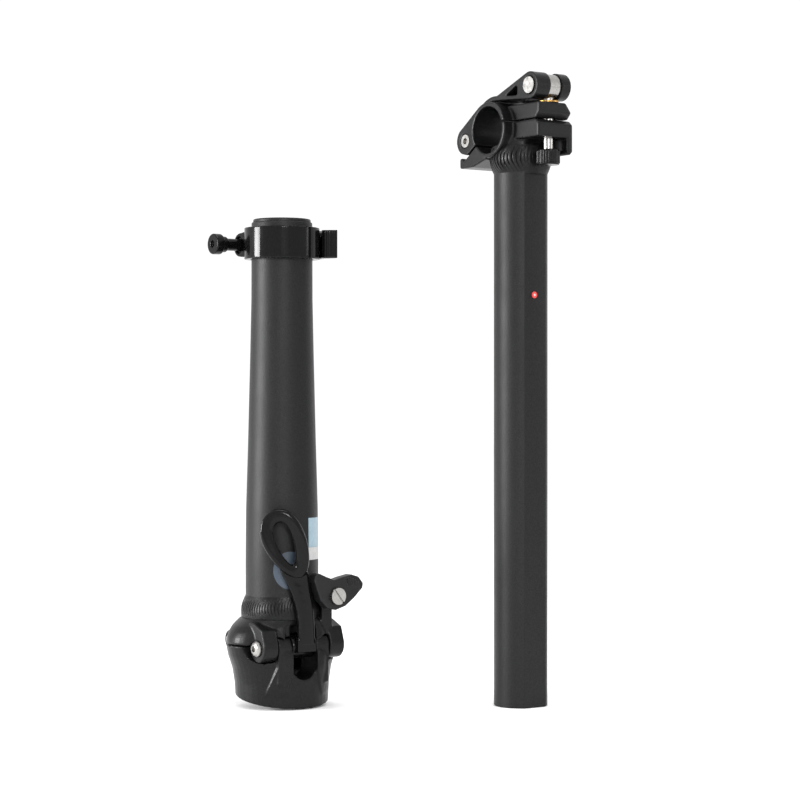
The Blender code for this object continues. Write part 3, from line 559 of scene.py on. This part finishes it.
def limit_mark():
    """Painted highlight: a white spot on the red limit dot."""
    low, high = box_mm("limit_mark")
    middle = (low + high) / 2
    lift, foot_r, top_r, depth = 0.04, 0.7, 0.6, 0.2
    bm = bmesh.new()
    place = (Matrix.Translation(Vector((middle.x, low.y - lift, middle.z)) * MM)
             @ Matrix.Rotation(math.pi / 2, 4, "X"))
    bmesh.ops.create_cone(bm, cap_ends=True, segments=32, radius1=foot_r * MM,
                          radius2=top_r * MM, depth=depth * MM, matrix=place)
    new_piece("limit_mark_painted_highlight", mesh_of(bm, "limit_mark_painted_highlight"), body="upper_half",
              material="white_paint_and_painted_highlight")


# Stage, in metres ---------------------------------------------------------------------------------

FLOOR_HALF = 6000              # millimetres, as box_mesh takes them
FLOOR_DEPTH = 20
FLOOR_COLOUR = grey(0.97)
FLOOR_ROUGHNESS = 0.9
WORLD_STRENGTH = 1.06
LIGHT_AIM = Vector((0, 0, 0.15))
LIGHTS = {
    "rim": dict(place=(-1.6, 0.75, 0.4), size=0.5, power=42.0),
    "key": dict(place=(-0.75, -1.5, 0.7), size=0.30, power=11.0),
    "fill": dict(place=(1.3, -0.9, 0.5), size=0.3, power=2.0),
    "top": dict(place=(0.0, -0.1, 1.6), size=0.8, power=10.0),
}

CAMERA_AZIMUTH = -35.5         # degrees
CAMERA_DISTANCE = 1.25
SENSOR_WIDTH = 36              # millimetres
VIEW_WIDTH = 0.4405            # across the picture, at the object's distance
VIEW_CENTRE_Z = 0.1685
VIEW_SHIFT = 0.0055            # from the object's middle to the aim point, to the right


def aim(obj, direction):
    obj.rotation_euler = direction.to_track_quat("-Z", "Y").to_euler()


def floor():
    mesh = box_mesh((-FLOOR_HALF, -FLOOR_HALF, -FLOOR_DEPTH), (FLOOR_HALF, FLOOR_HALF, 0))
    obj = bpy.data.objects.new("floor", mesh)
    bpy.context.scene.collection.objects.link(obj)
    white, _, shader = new_material("floor_white")
    shader.inputs["Base Color"].default_value = (*FLOOR_COLOUR, 1)
    shader.inputs["Roughness"].default_value = FLOOR_ROUGHNESS
    mesh.materials.append(white)


def lighting():
    world = bpy.data.worlds.new("studio")
    world.use_nodes = True
    background = world.node_tree.nodes["Background"]
    background.inputs["Color"].default_value = (1, 1, 1, 1)
    background.inputs["Strength"].default_value = WORLD_STRENGTH
    bpy.context.scene.world = world
    for name, lamp in LIGHTS.items():
        data = bpy.data.lights.new(name, "AREA")
        data.size = lamp["size"]
        data.energy = lamp["power"]
        light = bpy.data.objects.new(name, data)
        light.location = lamp["place"]
        aim(light, LIGHT_AIM - light.location)
        bpy.context.scene.collection.objects.link(light)


def camera():
    """Level view from the front left, with the view's width set by the lens."""
    azimuth = math.radians(CAMERA_AZIMUTH)
    right = Vector((math.cos(azimuth), math.sin(azimuth), 0))
    back = Vector((math.sin(azimuth), -math.cos(azimuth), 0))
    data = bpy.data.cameras.new("camera")
    data.sensor_width = SENSOR_WIDTH
    data.lens = SENSOR_WIDTH * CAMERA_DISTANCE / VIEW_WIDTH
    cam = bpy.data.objects.new("camera", data)
    cam.location = right * VIEW_SHIFT + back * CAMERA_DISTANCE + Vector((0, 0, VIEW_CENTRE_Z))
    aim(cam, -back)
    bpy.context.scene.collection.objects.link(cam)
    bpy.context.scene.camera = cam


# The plain view transform leaves the background as white as the photo's.
bpy.context.scene.view_settings.view_transform = "Standard"
camera()
floor()
lighting()
paint_cad_nodes()
outer_tube()
inner_tube()
guide_sleeve()
weld_beads()
for melted_node, melt in MELTED.items():
    soften(melted_node, *melt)
labels()
limit_mark()
